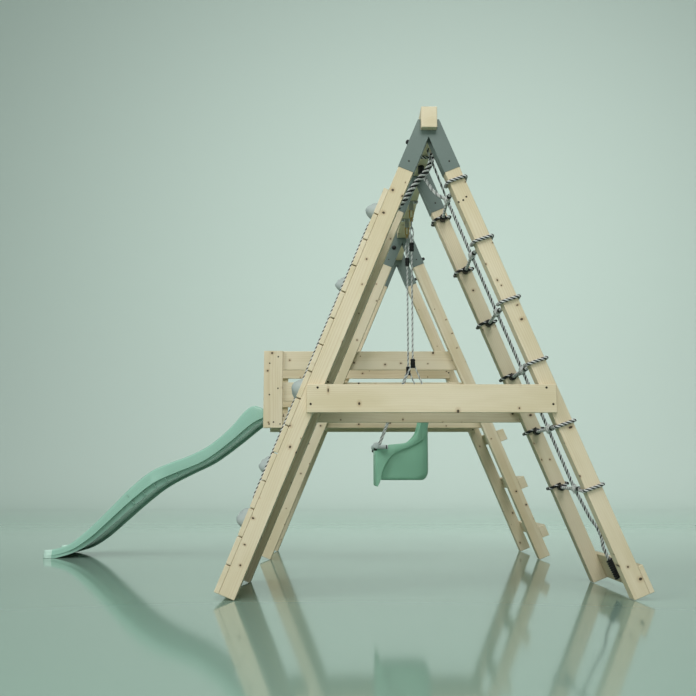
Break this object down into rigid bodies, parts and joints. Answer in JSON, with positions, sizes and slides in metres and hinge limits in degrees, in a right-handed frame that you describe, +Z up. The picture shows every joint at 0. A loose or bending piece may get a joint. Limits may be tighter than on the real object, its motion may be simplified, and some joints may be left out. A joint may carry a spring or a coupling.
{
  "type": "garden play frame with slide",
  "caption": "Wooden A-frame garden play frame with a ridge beam, climbing wall, rope net, baby swing, railed deck, ladder treads and a wavy plastic slide.",
  "frame": {"origin": "on the ground, under the middle of the overall box", "axes": "+Z up, +Y along the ridge beam from the climbing end to the deck end, +X towards the ladder and the rope net; the slide leaves towards -X"},
  "size_m": [3.1784, 2.614, 2.1395],
  "materials": {
    "softwood": "planed, unpainted",
    "grey_painted_steel": "satin",
    "galvanised_steel": "zinc plated",
    "brass_plated_steel": "satin",
    "green_plastic": "glossy",
    "grey_plastic": "satin",
    "hold_plastic": "lightly textured",
    "rope": "twisted fibre",
    "black_plastic": "satin",
    "dark_screw": "oxide"
  },
  "bodies": {
    "play_frame": {"ridge_beam": "softwood", "leg_a_left": "softwood", "leg_a_right": "softwood", "leg_b_left": "softwood", "leg_b_right": "softwood", "leg_c_left": "softwood", "leg_c_right": "softwood", "leg_d_left": "softwood", "leg_d_right": "softwood", "wall_board_1": "softwood", "wall_board_2": "softwood", "wall_board_3": "softwood", "wall_board_4": "softwood", "wall_board_5": "softwood", "wall_board_6": "softwood", "wall_board_7": "softwood", "wall_board_8": "softwood", "wall_board_9": "softwood", "wall_board_10": "softwood", "wall_board_11": "softwood", "wall_board_12": "softwood", "wall_board_13": "softwood", "wall_board_14": "softwood", "wall_board_15": "softwood", "net_foot_board": "softwood", "cross_rail_a": "softwood", "cross_rail_b": "softwood", "deck_beam_c": "softwood", "deck_beam_d": "softwood", "guard_rail_c_lower": "softwood", "guard_rail_c_upper": "softwood", "guard_rail_d_lower": "softwood", "guard_rail_d_upper": "softwood", "corner_post_c": "softwood", "corner_post_d": "softwood", "deck": "softwood", "ladder_tread_1": "softwood", "ladder_tread_2": "softwood", "ladder_tread_3": "softwood", "ridge_bracket_a": "grey_painted_steel", "ridge_bracket_b": "grey_painted_steel", "ridge_bracket_c": "grey_painted_steel", "ridge_bracket_d": "grey_painted_steel", "climbing_hold_1": "hold_plastic", "climbing_hold_2": "hold_plastic", "climbing_hold_3": "hold_plastic", "climbing_hold_4": "hold_plastic", "climbing_hold_5": "hold_plastic", "wall_rope": "rope", "rope_net": "rope", "slide": "green_plastic", "swing_hanger_near": "galvanised_steel", "swing_hanger_far": "galvanised_steel"},
    "swing": {"swing_link_near": "brass_plated_steel", "swing_link_far": "brass_plated_steel", "swing_rope_near": "rope", "swing_rope_far": "rope", "swing_seat": "green_plastic"},
    "bar": {"safety_bar": "grey_plastic"}
  },
  "joints": [
    {"name": "swing_pivot", "type": "hinge", "parent": "play_frame", "child": "swing", "pos_m": [0.6768, -0.019, 1.985], "axis": [0, 1, 0], "range_deg": [-45, 45]},
    {"name": "safety_bar_lift", "type": "slide", "parent": "swing", "child": "bar", "axis": [0.3819, 0, 0.9242], "range_m": [0, 0.22]}
  ]
}
